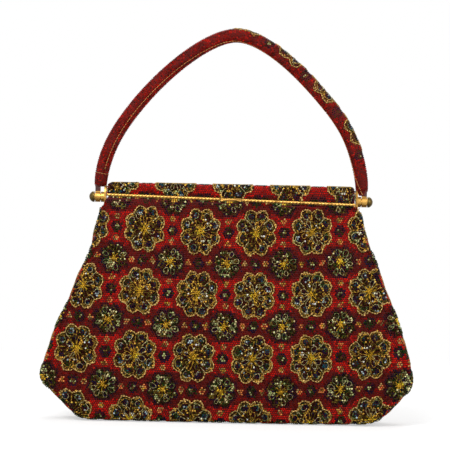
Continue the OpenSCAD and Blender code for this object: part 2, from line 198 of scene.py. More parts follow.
def settle(p):
    """Small unevenness of the sewn body: it stands on its beads, the base corners lift, the edges waver."""
    x, z = p[..., 0], p[..., 2]
    low = np.clip(1 - z / 40, 0, 1)
    rise = np.where(x > 0, 1.1, 0.4) * np.clip((np.abs(x) - 40) / 75, 0, 1) ** 2 * low * low
    rise = rise + 1.35 * np.clip(1 - z / 6, 0, 1) ** 2
    edge = np.clip((np.abs(x) / half_w(z) - 0.8) / 0.2, 0, 1) * np.clip((165 - z) / 30, 0, 1)
    phase = np.where(x > 0, 0.0, 2.1)
    waver = 0.55 * np.sin(z / 6.3 + phase) + 0.5 * np.sin(z / 15 + 1 + 2 * phase)
    pull = np.where(x < 0, -1.7 * np.exp(-((z - 132) / 34) ** 2),
                    1.4 * np.exp(-((z - 124) / 18) ** 2) + 1.4 * np.exp(-((z - 72) / 15) ** 2))
    waver = waver + pull
    return np.stack([x + np.sign(x) * edge * waver, p[..., 1], z + rise], -1)


# Mesh helpers

def link(me, mat, body, slot):
    ob = bpy.data.objects.new(me.name, me)
    scene.collection.objects.link(ob)
    me.materials.append(mat)
    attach(ob, body)
    return ob


def raw_mesh(name, verts, loops, starts):
    me = bpy.data.meshes.new(name)
    me.vertices.add(len(verts))
    me.vertices.foreach_set("co", np.ascontiguousarray(verts * MM, np.float32).ravel())
    me.loops.add(len(loops))
    me.loops.foreach_set("vertex_index", np.ascontiguousarray(loops, np.int32))
    me.polygons.add(len(starts))
    me.polygons.foreach_set("loop_start", np.ascontiguousarray(starts, np.int32))
    me.update(calc_edges=True)
    me.polygons.foreach_set("use_smooth", np.full(len(starts), True))
    me.validate()
    return me


def quads(rows, cols, wrap=False, flip=False):
    i, j = np.meshgrid(np.arange(rows - 1), np.arange(cols if wrap else cols - 1), indexing="ij")
    k = (j + 1) % cols
    q = np.stack([i * cols + j, i * cols + k, (i + 1) * cols + k, (i + 1) * cols + j], -1).reshape(-1, 4)
    return q[:, ::-1] if flip else q


def quad_mesh(name, verts, faces, weld=0.0):
    me = raw_mesh(name, verts, faces.ravel(), np.arange(0, 4 * len(faces), 4))
    if weld:
        bm = bmesh.new()
        bm.from_mesh(me)
        bmesh.ops.remove_doubles(bm, verts=bm.verts, dist=weld * MM)
        bm.to_mesh(me)
        bm.free()
        me.polygons.foreach_set("use_smooth", np.full(len(me.polygons), True))
    return me


def capped_mesh(name, grids, wrap=True, flip=False):
    """Rows of points joined by quads, with a face over the first and the last row of each grid."""
    verts, loops, starts, base, count = [], [], [], 0, 0
    for grid in grids:
        rows, cols = grid.shape[:2]
        q = quads(rows, cols, wrap, flip) + base
        first = base + np.arange(cols)
        last = first + (rows - 1) * cols
        verts.append(grid.reshape(-1, 3))
        loops += [q.ravel(), first, last[::-1]] if flip else [q.ravel(), first[::-1], last]
        starts += [count + np.arange(0, q.size, 4), count + q.size + np.array([0, cols])]
        count += q.size + 2 * cols
        base += rows * cols
    return raw_mesh(name, np.concatenate(verts), np.concatenate(loops), np.concatenate(starts))


def thicken(ob, t):
    m = ob.modifiers.new("thickness", "SOLIDIFY")
    m.thickness = t * MM
    m.offset = -1
    m.use_even_offset = False


def paint(me, rgb):
    layer = me.color_attributes.new("bead", "FLOAT_COLOR", "POINT")
    rgba = np.ones((len(rgb), 4), np.float32)
    rgba[:, :3] = rgb
    layer.data.foreach_set("color", rgba.ravel())


def flat_uv(me, ab):
    """Planar map of the pattern, one place for each vertex."""
    lo, hi = ab.min(0), ab.max(0)
    uv = 0.01 + 0.98 * (ab - lo) / (hi - lo)
    index = np.empty(len(me.loops), np.int32)
    me.loops.foreach_get("vertex_index", index)
    layer = me.uv_layers.new(name="OFBake")
    layer.data.foreach_set("uv", np.ascontiguousarray(uv[index], np.float32).ravel())


def normals(place, a, b, h):
    """Unit normals of the surface place(a, b), from its slopes over the step h."""
    return units(np.cross(place(a + h, b) - place(a - h, b), place(a, b + h) - place(a, b - h)))


def bead_mesh(name, p, n, ab, rgb, sides, r=BEAD_R, h=BEAD_H):
    """One faceted dome for each bead, open below where it is sewn down."""
    m = len(p)
    t = units(np.cross(np.where(np.abs(n[:, 2:3]) < 0.8, [[0.0, 0, 1]], [[1.0, 0, 0]]), n))
    b = np.cross(n, t)
    turn = rng.uniform(0, TURN, m)[:, None] + TURN * np.arange(sides) / sides
    size = (r * rng.uniform(0.88, 1.1, m))[:, None, None]
    ring = np.cos(turn)[..., None] * t[:, None] + np.sin(turn)[..., None] * b[:, None]
    foot = p[:, None] + ring * size - n[:, None] * 0.25
    top = p[:, None] + ring * size * 0.62 + n[:, None] * h
    verts = np.concatenate([foot, top], 1).reshape(-1, 3)
    k = np.arange(sides)
    k2 = (k + 1) % sides
    side = np.stack([k, k2, sides + k2, sides + k], 1).ravel()
    loops = np.concatenate([side, sides + k])
    loops = (np.arange(m)[:, None] * 2 * sides + loops).ravel()
    starts = np.concatenate([np.arange(sides) * 4, [4 * sides]])
    starts = (np.arange(m)[:, None] * 5 * sides + starts).ravel()
    me = raw_mesh(name, verts, loops, starts)
    paint(me, np.repeat(rgb, 2 * sides, axis=0))
    spread = 0.6 * np.stack([np.cos(turn), np.sin(turn)], -1)
    flat_uv(me, (ab[:, None] + np.concatenate([spread, spread * 0.6], 1)).reshape(-1, 2))
    return me


def cord_mesh(name, lines, sides=4):
    """Sewn cords: each line is points, normals, flat places, colour, radius and whether it closes.

    The tone changes at random from bead to bead along a cord, and the narrow gaps between the beads are
    darkened as painted shade.
    """
    verts, faces, tints, flats, base = [], [], [], [], 0
    turn = TURN * np.arange(sides) / sides + math.pi / 2
    flat = 0.4 * np.stack([np.cos(turn), np.sin(turn)], -1)
    for p, n, ab, rgb, r, closed in lines:
        m = len(p)
        t = units(np.roll(p, -1, 0) - np.roll(p, 1, 0) if closed else np.gradient(p, axis=0))
        b = units(np.cross(t, n))
        ring = np.cos(turn)[None, :, None] * b[:, None] + np.sin(turn)[None, :, None] * n[:, None]
        bead = np.arange(m) % 2 == 0
        swell = np.where(bead, 1.15, 0.72)[:, None, None]
        verts.append((p[:, None] + r * swell * ring).reshape(-1, 3))
        f = quads(m + closed, sides, wrap=True) % (m * sides)
        faces.append(f[:, ::-1] + base)
        # Random tone on the beads; the gaps between them are darkened as painted shade.
        tone = np.where(bead, rng.uniform(0.55, 1.25, m), rng.uniform(0.08, 0.5, m))[:, None]
        tints.append((tone * rgb).repeat(sides, 0))
        flats.append((ab[:, None] + flat[None]).reshape(-1, 2))
        base += m * sides
    me = quad_mesh(name, np.concatenate(verts), np.concatenate(faces))
    paint(me, np.concatenate(tints))
    flat_uv(me, np.concatenate(flats))
    return me


# Materials

class Tree:
    """The nodes of a material or of the world, while they are put together."""

    def __init__(self, owner):
        owner.use_nodes = True
        self.owner, self.nodes, self.links = owner, owner.node_tree.nodes, owner.node_tree.links

    def put(self, value, socket):
        if hasattr(value, "links"):
            self.links.new(value, socket)
        else:
            socket.default_value = value

    def add(self, kind, *values, **named):
        """New node. Named values go to its settings or inputs, the others to its inputs in order."""
        n = self.nodes.new("ShaderNode" + kind)
        for key, value in named.items():
            if hasattr(n, key):
                setattr(n, key, value)
            else:
                self.put(value, n.inputs[key.replace("_", " ")])
        for value, socket in zip(values, n.inputs):
            self.put(value, socket)
        return n

    def place(self):
        return self.add("TexCoord").outputs["Object"]

    def calc(self, operation, *values):
        return self.add("Math", *values, operation=operation).outputs["Value"]

    def ramp(self, source, *stops):
        """Colour ramp; each stop is a position and a colour or a grey."""
        r = self.add("ValToRGB", Fac=source)
        el = r.color_ramp.elements
        while len(el) < len(stops):
            el.new(0.5)
        for e, (at, rgb) in zip(el, stops):
            e.position = at
            e.color = (*np.broadcast_to(rgb, 3), 1)
        return r.outputs["Color"]

    def span(self, source, low, high, start=0.0, end=1.0):
        m = self.add("MapRange", Value=source, From_Min=start, From_Max=end, To_Min=low, To_Max=high)
        return m.outputs["Result"]

    def noise(self, scale, detail=3.0, stretch=None):
        co = self.place()
        if stretch:
            co = self.add("Mapping", Vector=co, Scale=stretch).outputs["Vector"]
        return self.add("TexNoise", Vector=co, Scale=scale, Detail=detail).outputs["Fac"]

    def bump(self, height, strength, distance):
        return self.add("Bump", Strength=strength, Distance=distance, Height=height).outputs["Normal"]

    def mixed(self, a, b, fac=1.0, mode="MULTIPLY"):
        return self.add("Mix", data_type="RGBA", blend_type=mode, A=a, B=b, Factor=fac).outputs["Result"]

    def finish(self, **inputs):
        """Fill the sockets of the main shader and return the material."""
        for key, value in inputs.items():
            self.put(value, self.nodes["Principled BSDF"].inputs[key.replace("_", " ")])
        return self.owner


def tree(name):
    return Tree(bpy.data.materials.new(name))


def bead_material(name, metal, rough, specular, ior):
    """Glass beads or metal cord: colour by bead, with small changes of tone and gloss."""
    t = tree(name)
    tint = t.add("VertexColor", layer_name="bead").outputs["Color"]
    grain = t.noise(420.0)
    return t.finish(
        Base_Color=t.mixed(tint, t.ramp(grain, (0.3, 0.72), (0.7, 1.0))), Metallic=metal, IOR=ior,
        Specular_IOR_Level=specular, Specular_Tint=(1.0, 0.62, 0.25, 1),
        Roughness=t.span(grain, rough * 0.6, rough * 1.5, 0.3, 0.7),
        Normal=t.bump(t.noise(1500.0), 0.25, 0.0003))


def brass_material(name, light, dark, rough, wear):
    t = tree(name)
    cloud, fine = t.noise(160.0, 6.0), t.noise(900.0, 4.0)
    tone = t.ramp(cloud, (0.32, dark), (0.32 + wear, light), (0.9, light))
    return t.finish(
        Base_Color=t.mixed(tone, t.ramp(fine, (0.3, 0.7), (0.55, 1.0))), Metallic=1.0,
        Roughness=t.span(cloud, rough * 1.6, rough * 0.8, 0.3, 0.7), Normal=t.bump(fine, 0.12, 0.0004))


def leather_material(name, light, dark, rough):
    t = tree(name)
    cells = t.add("TexVoronoi", Vector=t.place(), Scale=900.0).outputs["Distance"]
    tone, fine = t.ramp(t.noise(120.0, 5.0), (0.3, dark), (0.62, light)), t.noise(700.0, 4.0)
    return t.finish(
        Base_Color=t.mixed(tone, t.ramp(fine, (0.3, 0.62), (0.6, 1.0))), Specular_IOR_Level=0.4, IOR=1.25,
        Roughness=t.span(fine, rough * 0.8, rough * 1.3, 0.3, 0.7), Normal=t.bump(cells, 0.35, 0.0004))


def cloth_material(name, light, dark, scale, rough, sheen, specular=0.25):
    """Fine weave: two sets of threads at right angles, with a slow change of tone."""
    t = tree(name)
    co = t.place()
    weave = t.calc("MULTIPLY", *(
        t.add("TexWave", Vector=co, Scale=scale, Distortion=1.2, Detail_Scale=2.0, wave_type="BANDS",
              bands_direction=axis).outputs["Fac"] for axis in ("X", "Z")))
    tone = t.ramp(t.noise(60.0, 5.0), (0.3, dark), (0.7, light))
    return t.finish(
        Base_Color=t.mixed(tone, t.ramp(weave, (0.0, 0.7), (0.5, 1.0))), Sheen_Weight=sheen,
        Specular_IOR_Level=specular, Roughness=t.span(weave, rough * 1.15, rough * 0.85),
        Normal=t.bump(weave, 0.3, 0.0003))


def board_material(name):
    t = tree(name)
    fibre = t.noise(300.0, 6.0, (1.0, 6.0, 1.0))
    return t.finish(
        Base_Color=t.ramp(fibre, (0.3, (0.3, 0.21, 0.13)), (0.7, (0.45, 0.35, 0.24))), Roughness=0.85,
        Normal=t.bump(fibre, 0.3, 0.0004))


def tab_material(name, split):
    """Leather above the height split, with a brass ferrule round the barrel below it."""
    t = tree(name)
    height = t.add("SeparateXYZ", Vector=t.place()).outputs["Z"]
    upper = t.span(height, 0.0, 1.0, split * MM, (split + 0.3) * MM)
    cloud = t.noise(200.0, 5.0)
    brass = t.ramp(cloud, (0.3, (0.34, 0.17, 0.04)), (0.55, (0.68, 0.38, 0.09)))
    hide = t.ramp(cloud, (0.3, lin(46, 9, 5)), (0.65, lin(84, 18, 9)))
    return t.finish(
        Base_Color=t.mixed(brass, hide, upper, "MIX"), Metallic=t.span(upper, 1.0, 0.0),
        Roughness=t.span(cloud, 0.45, 0.28, 0.3, 0.7), Normal=t.bump(t.noise(900.0, 4.0), 0.2, 0.0004))


glass = bead_material("glass_beads", 0.0, 0.2, 0.5, 1.14)
cord_gilt = bead_material("gilt_cord", 0.4, 0.36, 0.4, 1.3)
ground_cloth = cloth_material("beadwork_ground", lin(96, 14, 14), lin(62, 10, 12), 420.0, 0.8, 0.1)
satin = cloth_material("lining_satin", lin(150, 24, 30), lin(118, 16, 22), 900.0, 0.42, 0.3, 0.5)
gilt = brass_material("gilt_brass", (0.68, 0.38, 0.09), (0.32, 0.16, 0.035), 0.29, 0.2)
# Interior frame brass: its dark tone is painted shade, so that the rim under the rope rail reads as the
# shadow line below it.
inner_brass = brass_material("inner_brass", (0.42, 0.27, 0.09), (0.22, 0.13, 0.045), 0.34, 0.3)
aged = brass_material("aged_brass", (0.16, 0.105, 0.03), (0.065, 0.045, 0.015), 0.34, 0.3)
strap_skin = cloth_material("strap_cloth", lin(104, 16, 8), lin(74, 10, 6), 420.0, 0.75, 0.1)
tab_skin = leather_material("tab_leather", lin(98, 16, 10), lin(56, 9, 6), 0.5)
thread = cloth_material("gold_thread", lin(212, 150, 78), lin(176, 112, 52), 1600.0, 0.5, 0.1, 0.4)
board = board_material("base_board")
tab_finish = tab_material("tab_finish", PIN_Z + 4.2)


# Beadwork pattern

def to_repeat(x, z):
    """Places of a face in the even repeat: its columns close up to the mouth, its rows rise to the sides
    and drop towards the base."""
    row = z - ROW_RISE * (2 * x / BODY_W) ** 2
    up = row / PANEL_TOP
    return ((x - SHIFT_X - LEAN_X * up) * PITCH_X / (PITCH_X - PITCH_IN * up),
            row + ROW_DROP * np.clip(1 - row / DROP_Z, 0, 1))


def from_repeat(a, b):
    row = np.where(b < ROW_DROP, b - ROW_DROP, np.minimum(b, DROP_Z) - ROW_DROP)
    row = np.where(b < ROW_DROP, row, row * DROP_Z / (DROP_Z - ROW_DROP) + np.maximum(b - DROP_Z, 0))
    up = row / PANEL_TOP
    x = SHIFT_X + LEAN_X * up + a * (PITCH_X - PITCH_IN * up) / PITCH_X
    return x, row + ROW_RISE * (2 * x / BODY_W) ** 2


def lobes(a, cut):
    return 1 - cut * (1 - np.abs(np.sin(4 * a)))


def patches(x, z):
    """A random number for each bead, which the beads of one small patch often share."""
    i = np.floor(x / PATCH).astype(int)
    j = np.floor(z / PATCH + 0.5 * (i % 2)).astype(int)
    shared = rng.random(PATCH_TABLE)[(i * 127 + j * 31) % PATCH_TABLE]
    return np.where(rng.random(len(x)) < PATCH_SHARE, shared, rng.random(len(x)))


def set_some(rgb, where, colours, weights, dice):
    """Give each chosen bead one of the colours by weight."""
    k = np.flatnonzero(where)
    edges = np.cumsum(weights) / np.sum(weights)
    rgb[k] = np.array(colours)[np.searchsorted(edges[:-1], dice[k], side="right")]


def paint_medallion(rgb, lift, dx, dz, dice):
    rho, a = np.hypot(dx / (MEDAL_W / 2), dz / (MEDAL_H / 2)), np.arctan2(dz / MEDAL_H, dx / MEDAL_W)
    q = rho / lobes(a, MEDAL_CUT)
    inside = q < 1
    b = a % EIGHTH - EIGHTH / 2 + rng.normal(0, 0.03, len(a))
    petal = np.hypot((q - 0.71 + rng.normal(0, 0.02, len(q))) / 0.145, b / math.radians(12.5))
    odd = np.floor(a / EIGHTH).astype(int) % 2 == 1
    set_some(rgb, inside, [OLIVE, GREEN, GOLD * 0.7, BROWN, PALE_GREEN], [3, 3.4, 2, 3.6, 0.8], dice)
    core = inside & (petal < 1)
    set_some(rgb, core & ~odd, [NAVY, TEAL, PALE_BLUE, GREEN], [6, 3, 1.2, 1], dice)
    set_some(rgb, core & odd, [NAVY, GREEN, PALE_BLUE, TEAL], [4, 4, 1.1, 3], dice)
    set_some(rgb, inside & (q > 0.9), [GOLD * 0.8, PEACH * 0.8, OLIVE, BROWN], [3, 2, 3, 1], dice)
    set_some(rgb, q < 0.57, [GOLD, WHITE, OLIVE, BROWN], [3, 0.8, 2, 4], dice)
    set_some(rgb, q < 0.48, [BROWN, OLIVE, GOLD, NAVY, WHITE], [7, 2, 1.6, 3, 0.7], dice)
    set_some(rgb, q < 0.16, [STAR, GOLD, BROWN], [4, 2, 1], dice)
    lift[inside] = 0.35
    return inside


def paint_flower(rgb, lift, dx, dz, dice):
    q = np.hypot(dx, dz) / (FLOWER_W / 2) / lobes(np.arctan2(dz, dx), FLOWER_CUT)
    inside = q < 1.05
    set_some(rgb, (q >= 1.05) & (q < 1.2), [VIOLET * 0.7, MAROON * 0.7, NAVY * 0.7], [3, 2, 1], dice)
    set_some(rgb, inside, [GREEN * 0.5, NAVY * 0.7, VIOLET * 0.6, OLIVE * 0.6], [4, 3, 1, 1], dice)
    set_some(rgb, q < 0.95, [GREEN, PALE_GREEN, NAVY, OLIVE, CREAM, GREEN * 0.4], [3, 2, 2.4, 2, 1, 2], dice)
    set_some(rgb, q < 0.26, [STAR, GOLD, OLIVE, BROWN], [3, 2, 1, 1], dice)
    lift[inside] = 0.3
    return inside


def paint_bud(rgb, lift, dx, dz, dice):
    q = np.hypot(dx, dz) / (BUD_W / 2)
    inside = q < 1.1
    set_some(rgb, inside, [VIOLET, NAVY, GREEN * 0.8], [2, 3, 3], dice)
    set_some(rgb, q < 0.48, [PALE_GREEN, OLIVE, GREEN], [3, 2, 2], dice)
    lift[inside] = 0.25
    return inside


def paint_dot(rgb, lift, dx, dz, dice):
    q = np.hypot(dx, dz) / DOT_R
    inside = q < 1.1
    set_some(rgb, inside, [lin(188, 112, 58), PEACH * 0.5, GOLD * 0.45], [3, 2, 1], dice)
    set_some(rgb, q < 0.4, [STAR * 0.5, lin(190, 80, 44)], [1, 1], dice)
    lift[inside] = 0.25
    return inside


def near(v, start, pitch):
    return (v - start + pitch / 2) % pitch - pitch / 2


def beadwork(x, z, dots=True):
    """Colour, lift and motif mask of beads at places x, z of the repeat."""
    n = len(x)
    rgb = np.empty((n, 3))
    lift = np.zeros(n)
    x0, x1 = PITCH_X / 2, 0.0
    z0, z1 = ROW_Z, ROW_Z + PITCH_Z / 2
    far = np.abs(near(z, z1, PITCH_Z)) + 1.6 * np.sin(x / 5.2) + rng.normal(0, 1.0, n)
    dice = patches(x, z)
    set_some(rgb, np.ones(n, bool), [RED, RED * 0.7, lin(186, 32, 20)], [5, 2, 1], dice)
    set_some(rgb, far < 11.5, [MAROON, MAROON * 0.7, RED * 0.45], [5, 3, 2], dice)
    motif = np.zeros(n, bool)
    for cx, cz, across_x in ((x1, z0, False), (x0, z1, True)):
        dx, dz = near(x, cx, PITCH_X), near(z, cz, PITCH_Z)
        motif |= paint_bud(rgb, lift, dx, dz, dice)
        for s in (-DOT_AT, DOT_AT) if dots else ():
            motif |= paint_dot(rgb, lift, dx - s if across_x else dx, dz if across_x else dz - s, dice)
    motif |= paint_flower(rgb, lift, near(x, x1, PITCH_X), near(z, z1, PITCH_Z), dice)
    motif |= paint_medallion(rgb, lift, near(x, x0, PITCH_X), near(z, z0, PITCH_Z), dice)
    # Random brightness for each bead: partly the beads' own tone, partly painted shade at the dark end and
    # painted glints at the bright end.
    glow = rng.uniform(0, 1, n)
    glow = np.where(motif, 0.25 + 1.55 * glow, 0.45 + glow)
    return np.clip(rgb * glow[:, None], 0, 0.95), lift, motif


def polar(cx, cz, w, h):
    """Places round a motif's centre in the plane of the pattern."""
    return lambda rho, a: np.stack([cx + w * rho * np.cos(a), cz + h * rho * np.sin(a)], 1)


def one_of(*colours):
    return colours[int(rng.integers(len(colours)))]


def medallion_lines(cx, cz):
    """Cords of a large medallion, each one sewn a little differently."""
    place = polar(cx, cz, MEDAL_W / 2, MEDAL_H / 2)
    a, t = np.linspace(0, TURN, 105)[:-1], np.linspace(0, TURN, 13)[:-1]
    lines = [(place((0.965 + rng.normal(0, 0.02, 104)) * lobes(a, MEDAL_CUT), a), PEACH, 0.45, True)]
    for k in range(8):
        cusp = k * EIGHTH + rng.normal(0, 0.04)
        mid = cusp + EIGHTH / 2
        lines.append((place(np.linspace(0.5, 0.82, 5), cusp + rng.normal(0, 0.025, 5)),
                      CREAM if k % 2 else GOLD, 0.3, False))
        wide, deep = math.radians(rng.uniform(11, 17)), rng.uniform(0.15, 0.21)
        lines.append((place(0.33 - deep * np.cos(t), mid + wide * np.sin(t) + rng.normal(0, 0.04, 12)),
                      one_of(GOLD, OLIVE * 1.4, CREAM * 0.8), 0.24, True))
        c = rng.uniform(0, TURN) + np.linspace(0, rng.uniform(2.2, 4.5), 7)
        lines.append((place(0.71 - 0.12 * np.cos(c) + rng.normal(0, 0.012, 7), mid + 0.2 * np.sin(c)),
                      one_of(GOLD * 0.8, PALE_GREEN, CREAM), 0.26, False))
        if rng.random() < 0.75:
            bow = mid + np.linspace(-0.3, 0.3, 8)
            lines.append((place((0.85 + rng.normal(0, 0.014, 8)) * lobes(bow, MEDAL_CUT), bow),
                          one_of(GOLD, OLIVE * 1.5), 0.26, False))
        reach = rng.uniform(0.2, 0.34)
        lines.append((place(np.linspace(0.03, reach, 4), np.full(4, cusp)), STAR, 0.3, False))
    return lines


def flower_lines(cx, cz):
    place = polar(cx, cz, FLOWER_W / 2, FLOWER_W / 2)
    t = np.linspace(0, TURN, 10)[:-1]
    lines = []
    for k in range(8):
        mid = (k + 0.5) * EIGHTH + rng.normal(0, 0.1)
        wide, deep = math.radians(rng.uniform(10, 15)), rng.uniform(0.18, 0.27)
        lines.append((place(0.69 - deep * np.cos(t), mid + wide * np.sin(t)),
                      one_of(PALE_GREEN * 0.85, CREAM * 0.75, OLIVE), 0.24, True))
        lines.append((place(np.linspace(0.04, rng.uniform(0.28, 0.46), 3),
                            np.full(3, k * EIGHTH + rng.normal(0, 0.08))), STAR, 0.28, False))
    return lines


def lattice(x_lo, x_hi, z_lo, z_hi, dx=BEAD_X, dz=BEAD_Z):
    rows = np.arange(z_lo, z_hi, dz)
    x, z = np.meshgrid(np.arange(x_lo, x_hi, dx), rows)
    x = x + (np.arange(len(rows)) % 2)[:, None] * dx / 2
    x = x + rng.normal(0, BEAD_OFF, x.shape)
    z = z + rng.normal(0, BEAD_OFF, z.shape)
    return x.ravel(), z.ravel()


def clip_lines(lines, keep):
    """Cut the lines where keep is false."""
    out = []
    for ab, rgb, r, closed in lines:
        ok = keep(ab[:, 0], ab[:, 1])
        if ok.all():
            out.append((ab, rgb, r, closed))
            continue
        if not ok.any():
            continue
        if closed:
            first = int(np.flatnonzero(~ok)[0])
            ab, ok = np.roll(ab, -first, 0), np.roll(ok, -first)
        ends = np.flatnonzero(np.diff(np.concatenate([[0], ok.astype(int), [0]])))
        for s, e in zip(ends[::2], ends[1::2]):
            if e - s >= 3:
                out.append((ab[s:e], rgb, r, False))
    return out


def sew(name, lines, keep, place, body, thin=1.0):
    """Cords along the lines where keep allows; place gives points, normals and flat places on the part."""
    sewn = [(*place(ab), tint, r * thin, closed) for ab, tint, r, closed in clip_lines(lines, keep)]
    return link(cord_mesh(name, sewn), cord_gilt, body, "flower_beads")


# Body shell

def shell_mesh(name, inset, r, floor=None, wrinkle=0.0, rim=True, steps=84, cols=72, depth=18):
    """Front, sides, base and back as one skin with rounded seams."""
    e0 = r * HALF_ARC
    s = np.linspace(0, SIDE_L, steps + 1)
    p, n = edge_at(s)
    edge = p - n * (inset + e0)
    x_row, z_row = edge[:, 0], edge[:, 1]
    if rim:
        x_row = np.concatenate([x_row, [MOUTH_X - 2.4 - inset, MOUTH_X - 5.2 - inset]])
        z_row = np.concatenate([z_row, [PANEL_TOP - 2, PANEL_TOP]])
    u = np.linspace(-1, 1, cols + 1)
    x, z = u[None] * x_row[:, None], np.repeat(z_row[:, None], cols + 1, 1)
    d = edge_distance(x, z) - inset
    d[:steps + 1, [0, -1]] = e0
    d[0] = e0
    d[steps + 1:] = np.maximum(d[steps + 1:], r)
    wave = wrinkle * (1 + np.sin(x / 6.5 + 1.7 * np.sin(z / 27))) * np.clip(d / 12, 0, 1)
    y = -(half_d(z) - inset + slack(x, z, d) - fold(d, r) - wave)
    front = np.stack([x, y, z], -1)
    back = front.reshape(-1, 3) * (-1, -1, 1)
    if rim:
        front[-2:, :, 2] += np.array([[0.2], [0.9]]) - np.array([[0.7], [1.0]]) * DROP * x[-2:]
    front = front.reshape(-1, 3)
    faces = quads(len(x_row), cols + 1)
    side = np.concatenate([p[::-1] * (-1, 1), np.stack([u[1:-1] * BASE_X, 0 * u[1:-1]], 1), p])
    norm = np.concatenate([n[::-1] * (-1, 1), np.repeat([[0.0, -1.0]], cols - 1, 0), n])
    height = np.concatenate([z_row[steps::-1], np.full(cols - 1, z_row[0]), z_row[:steps + 1]])
    t = np.linspace(-1, 1, depth + 1)
    t = np.sign(t) * (1 - (1 - np.abs(t)) ** 1.35)
    reach = half_d(height) - inset
    ys = t[None] * (reach - e0)[:, None]
    dip = fold(reach[:, None] - np.abs(ys), r) + side_dip(ys, height[:, None]) * (1 - np.abs(t)[None] ** 8)
    line = side[:, None] - norm[:, None] * (inset + dip)[..., None]
    strip = np.stack([line[..., 0], ys, line[..., 1]], -1).reshape(-1, 3)
    strip_faces = quads(len(side), depth + 1)
    verts = np.concatenate([front, back, strip])
    if floor is not None:
        verts[:, 2] = np.maximum(verts[:, 2], floor)
    faces = np.concatenate([faces, faces + len(front), strip_faces + 2 * len(front)])
    return quad_mesh(name, settle(verts), faces, weld=0.05)


shell = link(shell_mesh("body_shell", SKIN, SEAM_R), ground_cloth, "bag", "beaded_cloth")
thicken(shell, 1.3)
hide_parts("front_panel", "back_panel", "gusset")

lining = link(shell_mesh("satin_lining", CLOTH_IN, 3.0, LINING_FLOOR + 0.1, 0.25, False, 60, 56, 14),
              satin, "bag", "lining_cloth")
thicken(lining, 0.5)
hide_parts("lining")


def on_face(x, z, lift):
    """Places and normals on the front face."""
    h = 0.5
    gx = (face_y(x + h, z) - face_y(x - h, z)) / (2 * h)
    gz = (face_y(x, z + h) - face_y(x, z - h)) / (2 * h)
    n = units(np.stack([gx, -np.ones_like(gx), gz], -1))
    return settle(np.stack([x, face_y(x, z), z], -1)) + n * np.asarray(lift)[..., None], n


def turned(v, back):
    return v * (-1, -1, 1) if back else v


SEAM_IN = SKIN + SEAM_R * HALF_ARC
# Reach of the bead field, of its last row under the rim, and the line that cuts the shoulders' corners
FACE_X, RIM_ROW_X, RIM_STEP, CUT_AT = 148.0, 98.6, 1.6, 269.4


def face_beads(word, back, sides):
    x, z = lattice(-FACE_X, FACE_X, 2.0, PANEL_TOP + 2.0)
    drop, last = (0, PANEL_TOP - 0.1) if back else (DROP, PANEL_TOP + 0.35)
    under = z < last - drop * x - 0.95
    row = np.arange(-RIM_ROW_X, RIM_ROW_X, RIM_STEP)
    x, z = np.concatenate([x[under], row]), np.concatenate([z[under], last - drop * row])
    ok = (edge_distance(x, z) > SEAM_IN - 0.35) & (np.abs(x) < half_w(z)) & (np.abs(x) < CUT_AT - z)
    x, z = x[ok], z[ok]
    rgb, lift, motif = beadwork(*to_repeat(x, z))
    p, n = (turned(v, back) for v in on_face(x, z, lift))
    ab = np.stack([x, z], 1)
    for part, mask, slot in (("ground", ~motif, "beaded_cloth"), ("motif", motif, "medallion_beads")):
        me = bead_mesh(f"{word}_{part}_beads", p[mask], n[mask], ab[mask], rgb[mask], sides)
        ob = link(me, glass, "bag", slot)
        if part == "motif":
            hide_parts(f"{word}_medallions")

    lines = []
    for i in range(-4, 5):
        for j in range(-1, 5):
            cx, cz = (i + 0.5) * PITCH_X, ROW_Z + j * PITCH_Z
            lines += medallion_lines(cx, cz) + flower_lines(cx + PITCH_X / 2, cz + PITCH_Z / 2)
    lines = [(np.stack(from_repeat(*ab.T), 1), *rest) for ab, *rest in lines]

    def keep(a, b):
        return (edge_distance(a, b) > 2.2) & (np.abs(a) < half_w(b)) & (b > 1) & (b < PANEL_TOP - 1.5)

    def place(ab):
        p, n = on_face(ab[:, 0], ab[:, 1], CORD_LIFT)
        return turned(p, back), turned(n, back), ab

    ob = sew(f"{word}_cords", lines, keep, place, "bag")
    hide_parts(f"{word}_flowers")


face_beads("front", False, 5)
face_beads("back", True, 4)


# Beads of the sides and the base

COLUMN_X, SIDE_RISE, STRIP_L = PITCH_X / 2, ROW_RISE * 0.75, BASE_X + SIDE_L
# The repeat wraps under the base below this height
WRAP_Z = WIDEST_Z + 6
SIDE_S = float(np.interp(WRAP_Z, RAW[:, 1], RUN))


def side_place(s, y, lift, sign):
    """Places and normals on the side strip; s runs from the middle of the base up the side."""
    def at(y, s):
        q = s - BASE_X
        p, n = edge_at(np.clip(q, 0, SIDE_L))
        p[:, 0] = np.where(q < 0, s, p[:, 0])
        edge_z = p[:, 1] - n[:, 1] * SEAM_IN
        dip = fold(half_d(edge_z) - SKIN - np.abs(y), SEAM_R) + side_dip(y, edge_z)
        w = p - n * (SKIN + dip)[:, None]
        return np.stack([w[:, 0], y, w[:, 1]], 1)

    n = normals(at, y, s, 0.4) * (sign, 1, 1)
    return settle(at(y, s) * (sign, 1, 1)) + n * np.asarray(lift)[..., None], n


def side_height(s):
    """Height of the repeat on the strip: true above the widest point, wrapped under the base below it."""
    q = s - BASE_X
    return np.where(q > SIDE_S, np.interp(q, RUN, RAW[:, 1]), WRAP_Z - (SIDE_S - q))


def side_reach(s):
    p, n = edge_at(np.clip(s - BASE_X, 0, SIDE_L))
    return half_d(p[:, 1] - n[:, 1] * SEAM_IN) - SEAM_IN


STRIP = np.linspace(0, STRIP_L - 2, 800)
CLIMB = side_height(STRIP)


def keep_side(a, c):
    t = np.interp(c, CLIMB, STRIP)
    return (np.abs(a) < side_reach(t) - 1.0) & (c > CLIMB[0] + 1) & (c < CLIMB[-1])


